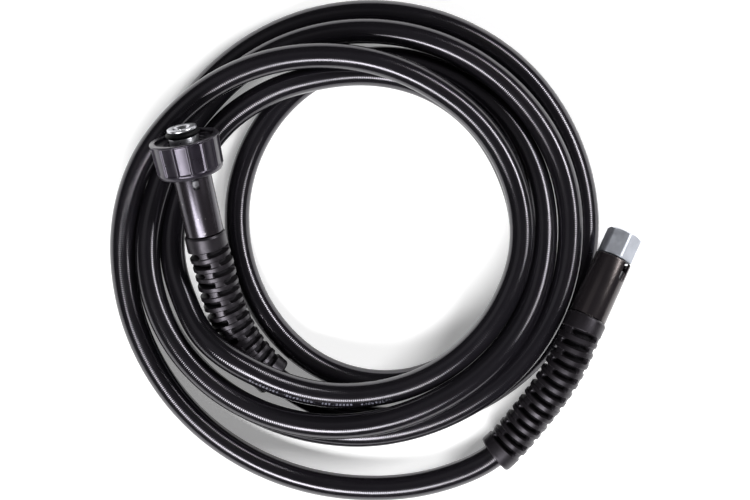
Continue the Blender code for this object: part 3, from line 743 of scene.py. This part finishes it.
# Pieces on the route
def make_hose(line, material):
    """The hose's tube, and the middles of its rings."""
    distances = np.linspace(0.0, line.length, int(line.length / HOSE_RING_STEP))
    inner = np.clip(distances, HOSE_END_INSET, line.length - HOSE_END_INSET)
    up, side = line.frames(inner)[2:]
    places = line.at(distances)
    places[:, 2] = np.maximum(places[:, 2], HOSE_RADIUS)
    ways = ring_directions(up, side, HOSE_SIDES)[0]
    rings = places[:, None, :] + ways * HOSE_RADIUS
    hose = ring_mesh("coiled_hose", rings, distances, material, smooth_angle=HOSE_SMOOTH_ANGLE)
    return hose, [Vector(p) for p in places]


def guard_rows():
    """Distances from the seam, dense at the edges of the grooves, and the grooves' middles."""
    ribbed = GUARD_LENGTH - GUARD_COLLAR_LENGTH - GUARD_FOOT_LENGTH
    pitch = (ribbed - GUARD_GROOVE_WIDTH) / (GUARD_GROOVES - 1)
    half = GUARD_GROOVE_WIDTH / 2
    middles = [GUARD_COLLAR_LENGTH + half + i * pitch for i in range(GUARD_GROOVES)]
    rows = [GUARD_COLLAR_LENGTH / 2, GUARD_LENGTH - GUARD_FOOT_ROW]
    rows += [SEAT_GAP + step for step in GUARD_END_ROWS]
    rows += [GUARD_LENGTH - step for step in GUARD_END_ROWS]
    rows += [middle + step * half for middle in middles for step in GROOVE_ROWS]
    return np.array(sorted(rows)), middles, half


def make_guard(name, line, seam, stagger, material):
    """A ribbed sleeve whose grooves hold long slots, staggered from groove to groove."""
    rows, middles, half = guard_rows()
    places, ahead, up, side = line.frames(seam + rows)
    ways, angles = ring_directions(up, side, GUARD_SIDES)
    radius = np.full((len(rows), GUARD_SIDES), GUARD_RADIUS)
    depth = np.zeros((len(rows), GUARD_SIDES))
    spacing = 2 * math.pi / GUARD_SLOTS
    straight = math.radians(GUARD_SLOT_HALF_TURN) * GUARD_RADIUS - half
    for number, middle in enumerate(middles):
        off = np.abs(rows[:, None] - middle)
        groove = 1.0 - smoothstep(half * GROOVE_STEP[0], half * GROOVE_STEP[1], off)
        radius -= groove * (GUARD_RADIUS - GUARD_BRIDGE_RADIUS)
        centre = math.radians(stagger[number % 2])
        turn = (angles[None, :] - centre + spacing / 2) % spacing - spacing / 2
        away = np.hypot(np.maximum(np.abs(turn) * GUARD_RADIUS - straight, 0.0), off)
        slot = 1.0 - smoothstep(half * SLOT_STEP[0], half * SLOT_STEP[1], away)
        radius -= slot * (GUARD_BRIDGE_RADIUS - GUARD_SLOT_RADIUS)
        depth += slot
        radius -= GUARD_EDGE_ROUND * (1.0 - smoothstep(half * RING_EDGE[0], half * RING_EDGE[1], away))
    for end in (SEAT_GAP, GUARD_LENGTH):
        radius -= GUARD_END_ROUND * (1.0 - smoothstep(0.0, GUARD_END_REACH, np.abs(rows[:, None] - end)))
    outer = places[:, None, :] + ways * radius[:, :, None]
    bore = HOSE_RADIUS + SEAT_GAP
    back = list(range(len(rows) - 1, -1, -BORE_ROW_STEP))
    if back[-1] != 0:
        back.append(0)
    inner = (places[:, None, :] + ways * bore)[back]
    rings = np.concatenate([outer, inner])
    along = np.concatenate([rows, rows[back] + BORE_UV_SHIFT])
    guard = ring_mesh(name, rings, along, material, closed=True, smooth_angle=GUARD_SMOOTH_ANGLE)
    # depth marks the slot floors, where the guard's material paints shade.
    shade = guard.data.attributes.new("depth", "FLOAT", "POINT")
    values = np.concatenate([depth, np.zeros((len(back), GUARD_SIDES))])
    shade.data.foreach_set("value", values.astype(np.float32).ravel())
    return guard


# Fittings
def make_sleeve(name, length, slot, place, material):
    """A plain tube with a slot = (width, reach, clock angle) cut in from its outer end."""
    profile = [
        (SLEEVE_BORE_RADIUS, length - SEAT_GAP, SMALL_FILLET),
        (SLEEVE_RADIUS, length - SEAT_GAP, SLEEVE_END_FILLET),
        (SLEEVE_RADIUS, SEAT_GAP, FILLET),
        (SLEEVE_BORE_RADIUS, SEAT_GAP, SMALL_FILLET),
    ]
    sleeve = turned(name, profile, material, place)
    width, reach, angle = slot
    shape = bmesh.new()
    bmesh.ops.create_cube(shape, size=1.0)
    bmesh.ops.scale(shape, vec=(SLOT_CUTTER_DEPTH, width, reach * 2), verts=shape.verts)
    bmesh.ops.translate(shape, vec=(SLEEVE_RADIUS - SLOT_CUTTER_INSET, 0.0, length), verts=shape.verts)
    low = [e for e in shape.edges if abs(e.verts[0].co.z - e.verts[1].co.z) < 1e-6
           and e.verts[0].co.z < length and abs(e.verts[0].co.y - e.verts[1].co.y) < 1e-6]
    corner = width * SLOT_CORNER_SHARE
    bmesh.ops.bevel(shape, geom=low, offset=corner, segments=5, profile=0.5, affect="EDGES")
    spin = Matrix.Rotation(math.radians(angle), 3, "Z")
    bmesh.ops.rotate(shape, cent=(0, 0, 0), matrix=spin, verts=shape.verts)
    mesh = bpy.data.meshes.new(name + "_cutter")
    shape.to_mesh(mesh)
    shape.free()
    mesh.transform(place)
    cutter = bpy.data.objects.new(name + "_cutter", mesh)
    bpy.context.scene.collection.objects.link(cutter)
    carve(sleeve, cutter)
    return sleeve


def ferrule_side(shoulder):
    """The crimped cup's outline from its shoulder to its inner bottom."""
    floor = shoulder - FERRULE_BOTTOM
    mouth = SEAT_GAP * 2
    return [
        (FERRULE_RADIUS, shoulder, LARGE_FILLET),
        (FERRULE_RADIUS, mouth, FILLET),
        (FERRULE_BORE_RADIUS, mouth, SMALL_FILLET),
        (FERRULE_BORE_RADIUS, floor, SMALL_FILLET),
        (SPIGOT_BORE_RADIUS, floor, SMALL_FILLET),
    ]


def make_steel_spigot(place, material):
    """The ferrule, neck and conical swivel head inside the hex nut."""
    neck = HEX_NECK_RADIUS - SEAT_GAP
    head = HEX_THREAD_RADIUS - SEAT_GAP
    seat = STEEL_SLEEVE_LENGTH + SEAT_GAP + HEX_SHOULDER_LENGTH + SEAT_GAP
    cone = head - SPIGOT_BORE_RADIUS - SWIVEL_CONE_LAND
    top = seat + SWIVEL_HEAD_RIM + cone
    shoulder = STEEL_SLEEVE_LENGTH - STEEL_FERRULE_RECESS
    profile = [
        (SPIGOT_BORE_RADIUS, top, FILLET),
        (head - cone, top, FILLET),
        (head, seat + SWIVEL_HEAD_RIM, FILLET),
        (head, seat, SMALL_FILLET),
        (neck, seat, SMALL_FILLET),
        (neck, shoulder, FILLET),
    ]
    return turned("steel_end_spigot", profile + ferrule_side(shoulder), material, place)


def make_hand_spigot(place, material):
    """The ferrule, neck, flange and grooved head that stands out of the hand nut."""
    nut_end = HAND_SLEEVE_LENGTH + SEAT_GAP + HAND_NUT_LENGTH
    flange = nut_end - HAND_NUT_RECESS_DEPTH - HAND_NUT_THREAD_DEPTH + SEAT_GAP
    top = nut_end + SPIGOT_REACH
    groove_top = top - SEAL_BELOW_TOP
    groove_bottom = groove_top - SEAL_THICKNESS - SEAT_GAP * 2
    shoulder = HAND_SLEEVE_LENGTH - HAND_FERRULE_RECESS
    profile = [
        (SPIGOT_BORE_RADIUS, top - SPIGOT_MOUTH_WIDENING, FLANGE_FILLET),
        (SPIGOT_BORE_RADIUS + SPIGOT_MOUTH_WIDENING, top - TINY_FILLET, LARGE_FILLET),
        (SPIGOT_HEAD_RADIUS, top, SPIGOT_HEAD_FILLET),
        (SPIGOT_HEAD_RADIUS, groove_top, FILLET),
        (SEAL_GROOVE_RADIUS, groove_top, SMALL_FILLET),
        (SEAL_GROOVE_RADIUS, groove_bottom, SMALL_FILLET),
        (SPIGOT_HEAD_RADIUS, groove_bottom, FILLET),
        (SPIGOT_HEAD_RADIUS, flange + SPIGOT_FLANGE_LENGTH, FLANGE_FILLET),
        (SPIGOT_FLANGE_RADIUS, flange + SPIGOT_FLANGE_LENGTH, FLANGE_FILLET),
        (SPIGOT_FLANGE_RADIUS, flange, FILLET),
        (SPIGOT_NECK_RADIUS, flange, FILLET),
        (SPIGOT_NECK_RADIUS, shoulder, FILLET),
    ]
    return turned("hand_end_spigot", profile + ferrule_side(shoulder), material, place, SPIGOT_SIDES)


def make_seal(place, material):
    top = HAND_SLEEVE_LENGTH + SEAT_GAP + HAND_NUT_LENGTH + SPIGOT_REACH
    half = SEAL_THICKNESS / 2
    middle = top - SEAL_BELOW_TOP - SEAT_GAP - half
    centre = SEAL_GROOVE_RADIUS + SEAT_GAP + half
    profile = []
    for i in range(SEAL_SIDES):
        around = 2 * math.pi * (i + 0.5) / SEAL_SIDES
        profile.append((centre + half * math.sin(around), middle + half * math.cos(around), 0.0))
    return turned("spigot_o_ring", profile, material, place, SPIGOT_SIDES)


def thread(height, angles, depth):
    """How far a screw thread stands in from its outer size."""
    share = (height / THREAD_PITCH - angles / (2 * math.pi)) % 1.0
    return depth * np.clip(THREAD_FULLNESS - np.abs(share * 2 - 1) * THREAD_STEEPNESS, 0.0, 1.0)


def fade_between(low, high, top_low, top_high, value):
    """0 below low and above top_high, 1 from high to top_low."""
    return smoothstep(low, high, value) * (1.0 - smoothstep(top_low, top_high, value))


class Rows:
    """Rings round a nut's axis, collected from its outside in through its bore."""

    def __init__(self, sides):
        self.angles = np.arange(sides) * 2 * math.pi / sides
        self.rings = []

    def add(self, radius, height):
        radius = np.broadcast_to(radius, self.angles.shape)
        height = np.broadcast_to(height, self.angles.shape)
        ring = [radius * np.cos(self.angles), radius * np.sin(self.angles), height]
        self.rings.append(np.stack(ring, axis=1))

    def nut(self, name, place, material, smooth_angle):
        along = np.arange(len(self.rings)) * NUT_ROW_UV_STEP
        rings = np.array(self.rings)
        item = ring_mesh(name, rings, along, material, closed=True, smooth_angle=smooth_angle)
        item.data.transform(place)
        return item


def make_hex_nut(place, material):
    """The hexagon with its chamfered mouth, base edge, shoulder and thread."""
    start = STEEL_SLEEVE_LENGTH + SEAT_GAP
    end = start + HEX_LENGTH
    rows = Rows(HEX_SIDES)
    corner = HEX_FLATS / math.sqrt(3)
    turn = (rows.angles - math.radians(HEX_TURN + 30.0)) % (math.pi / 3) - math.pi / 6
    hexagon = np.minimum(HEX_FLATS / 2 / np.cos(turn), corner - HEX_CORNER_FLAT)
    slope = math.tan(math.radians(HEX_CHAMFER_SLOPE))
    crown = corner - HEX_CHAMFER / slope

    for step in np.linspace(0.0, 1.0, HEX_CHAMFER_ROWS):
        cone = crown + HEX_CHAMFER * step / slope
        rows.add(np.minimum(hexagon, cone), end - HEX_CHAMFER * step)
    rows.add(hexagon, end - HEX_FLAT_ROW)
    for inward, above in HEX_BASE_ROWS:
        rows.add(hexagon - inward, start + above)
    shoulder = start + HEX_SHOULDER_LENGTH
    rows.add(HEX_NECK_RADIUS + SMALL_FILLET, start)
    rows.add(HEX_NECK_RADIUS, start + SMALL_FILLET)
    rows.add(HEX_NECK_RADIUS, shoulder - TINY_FILLET)
    rows.add(HEX_THREAD_RADIUS, shoulder)
    first = shoulder + HEX_THREAD_START
    last = end - HEX_THREAD_END
    for z in np.arange(shoulder + SMALL_FILLET, end - HEX_LAST_THREAD_ROW, HEX_THREAD_ROW):
        fade = fade_between(first, first + HEX_THREAD_RUN_IN, last, last + HEX_THREAD_RUN_OUT, z)
        depth = fade * thread(z, rows.angles, HEX_THREAD_DEPTH)
        rows.add(HEX_THREAD_RADIUS + HEX_THREAD_RELIEF - depth, z)
    for outward, below in HEX_MOUTH_ROWS:
        rows.add(HEX_THREAD_RADIUS + outward, end - below)
    return rows.nut("hex_swivel_nut", place, material, HEX_SMOOTH_ANGLE)


def make_hand_nut(place, material):
    """The ribbed nut from its rim over its ribs and base, then in through its bore and thread."""
    start = HAND_SLEEVE_LENGTH + SEAT_GAP
    end = start + HAND_NUT_LENGTH
    body = HAND_NUT_RADIUS - HAND_NUT_RIB_HEIGHT
    rows = Rows(HAND_NUT_RIBS * SIDES_TO_A_RIB)
    spacing = 2 * math.pi / HAND_NUT_RIBS
    from_rib = (rows.angles - math.radians(HAND_NUT_TURN) + spacing / 2) % spacing - spacing / 2
    rib = 1.0 - smoothstep(HAND_NUT_RIB_TOP, HAND_NUT_RIB_FOOT, np.abs(from_rib) * HAND_NUT_RADIUS)

    rim = HAND_NUT_RIM_ROUND
    for t in np.linspace(0.0, math.pi / 2, RIM_ROWS):
        rows.add(HAND_NUT_RADIUS - rim * (1 - math.sin(t)), end - rim * (1 - math.cos(t)))
    lip = end - HAND_NUT_LIP_LENGTH
    under_lip = np.linspace(lip, lip - UNDER_LIP[0], UNDER_LIP[1])
    sides = np.linspace(lip - RIB_SIDES[0], start + RIB_SIDES[1], RIB_SIDES[2])
    ends_of_ribs = np.linspace(start + RIB_ENDS[0], start + HAND_NUT_BASE_BEVEL, RIB_ENDS[1])
    for z in np.concatenate([under_lip, sides, ends_of_ribs]):
        below = smoothstep(0.0, HAND_NUT_LIP_STEP, lip - z)
        fade = smoothstep(start + HAND_NUT_RIB_END[0], start + HAND_NUT_RIB_END[1], z)
        narrower = HAND_NUT_TAPER * (1.0 - (z - start) / HAND_NUT_LENGTH)
        rise = rib * (HAND_NUT_RIB_HEIGHT + HAND_NUT_PAD_DEPTH) * fade
        pads = body - HAND_NUT_PAD_DEPTH * fade + rise
        rows.add(HAND_NUT_RADIUS * (1 - below) + pads * below - narrower, z)
    drop = HAND_NUT_BASE_BEVEL
    for t in np.linspace(BASE_FIRST_ANGLE, math.pi / 2, BASE_ROWS):
        rows.add(body - HAND_NUT_TAPER - drop * (1 - math.cos(t)), start + drop * (1 - math.sin(t)))

    recess = end - HAND_NUT_RECESS_DEPTH
    bottom = recess - HAND_NUT_THREAD_DEPTH
    bore = SPIGOT_NECK_RADIUS + SEAT_GAP
    rows.add(bore + SMALL_FILLET, start)
    rows.add(bore, start + SMALL_FILLET)
    rows.add(bore, bottom)
    rows.add(HAND_NUT_THREAD_RADIUS, bottom)
    run_in = [bottom + reach for reach in HAND_NUT_THREAD_RUN_IN]
    run_out = [recess - reach for reach in HAND_NUT_THREAD_RUN_OUT]
    for z in np.arange(bottom + SMALL_FILLET, recess - FILLET, HAND_THREAD_ROW):
        depth = fade_between(*run_in, *run_out, z) * thread(z, rows.angles, HAND_NUT_THREAD_HEIGHT)
        rows.add(HAND_NUT_THREAD_RADIUS + HAND_NUT_THREAD_RELIEF - depth, z)
    rows.add(HAND_NUT_THREAD_RADIUS + HAND_NUT_MOUTH_BEVEL, recess)
    rows.add(HAND_NUT_RECESS_RADIUS - FILLET, recess)
    rows.add(HAND_NUT_RECESS_RADIUS, recess + FILLET)
    rows.add(HAND_NUT_RECESS_RADIUS, end - FILLET)
    rows.add(HAND_NUT_RECESS_RADIUS + FILLET, end)
    return rows.nut("ribbed_hand_nut", place, material, SMOOTH_ANGLE)


# Studio
def area_light(name, place, width, height, power):
    """A rectangular light that faces the coil."""
    data = bpy.data.lights.new(name, "AREA")
    data.energy = power
    data.shape = "RECTANGLE"
    data.size = width
    data.size_y = height
    light = bpy.data.objects.new(name, data)
    light.location = place
    light.rotation_euler = (-Vector(place)).to_track_quat("-Z", "Y").to_euler()
    bpy.context.scene.collection.objects.link(light)


def make_studio():
    half = FLOOR_HALF
    corners = [(-half, -half, 0), (half, -half, 0), (half, half, 0), (-half, half, 0)]
    floor_mesh = bpy.data.meshes.new("floor")
    floor_mesh.from_pydata(corners, [], [(0, 1, 2, 3)])
    n = Nodes("floor_white")
    n.shader.inputs["Base Color"].default_value = (FLOOR_WHITE, FLOOR_WHITE, FLOOR_WHITE, 1.0)
    n.shader.inputs["Emission Color"].default_value = (1.0, 1.0, 1.0, 1.0)
    n.shader.inputs["Emission Strength"].default_value = FLOOR_GLOW
    n.shader.inputs["Roughness"].default_value = FLOOR_ROUGHNESS
    floor_mesh.materials.append(n.material)
    floor = bpy.data.objects.new("floor", floor_mesh)
    bpy.context.scene.collection.objects.link(floor)
    world = bpy.data.worlds.new("studio")
    world.use_nodes = True
    background = world.node_tree.nodes["Background"]
    background.inputs["Color"].default_value = (1.0, 1.0, 1.0, 1.0)
    background.inputs["Strength"].default_value = SKY_STRENGTH
    bpy.context.scene.world = world
    bpy.context.scene.view_settings.view_transform = "Standard"
    for light in LIGHTS:
        area_light(*light)


# Build
def declare(piece, node, body):
    """The piece stands for the node, which is hidden, and moves with the body."""
    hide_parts(node)
    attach(piece, body)


make_camera()
line = Line(hose_route())
hose, hose_path = make_hose(line, hose_rubber())
declare(hose, "hose", "hose_body")

guard_material = guard_rubber()
steel_guard = make_guard("slotted_guard_steel", line, STEEL_INSERT, STEEL_GUARD_STAGGER, guard_material)
declare(steel_guard, "steel_bend_guard", "hose_body")

back_line = Line([Vector(p) for p in line.points[::-1]])
hand_guard = make_guard("slotted_guard_hand", back_line, HAND_INSERT, HAND_GUARD_STAGGER, guard_material)
declare(hand_guard, "hand_bend_guard", "hose_body")

steel_place = fitting_place(STEEL_SEAM, STEEL_HEADING, STEEL_RISE)
hand_place = fitting_place(HAND_SEAM, HAND_HEADING, HAND_RISE)
zinc = zinc_steel()
bright = bright_steel()

steel_plastic = sleeve_plastic("steel_end_plastic", STEEL_SLEEVE_SHEEN)
steel_sleeve = make_sleeve("grip_sleeve_steel", STEEL_SLEEVE_LENGTH, STEEL_SLOT, steel_place, steel_plastic)
declare(steel_sleeve, "steel_end_sleeve", "hose_body")

hand_plastic = sleeve_plastic("hand_end_plastic", HAND_SLEEVE_SHEEN)
hand_sleeve = make_sleeve("grip_sleeve_hand", HAND_SLEEVE_LENGTH, HAND_SLOT, hand_place, hand_plastic)
declare(hand_sleeve, "hand_end_sleeve", "hose_body")

steel_spigot = make_steel_spigot(steel_place, bright)
declare(steel_spigot, "steel_spigot", "hose_body")

hand_spigot = make_hand_spigot(hand_place, bright)
declare(hand_spigot, "hand_spigot", "hose_body")

seal = make_seal(hand_place, seal_rubber())
declare(seal, "spigot_seal", "hose_body")

hex_nut = make_hex_nut(steel_place, zinc)
declare(hex_nut, "hex_nut", "hex_nut_body")

hand_nut = make_hand_nut(hand_place, nut_plastic())
declare(hand_nut, "hand_nut", "hand_nut_body")

make_studio()
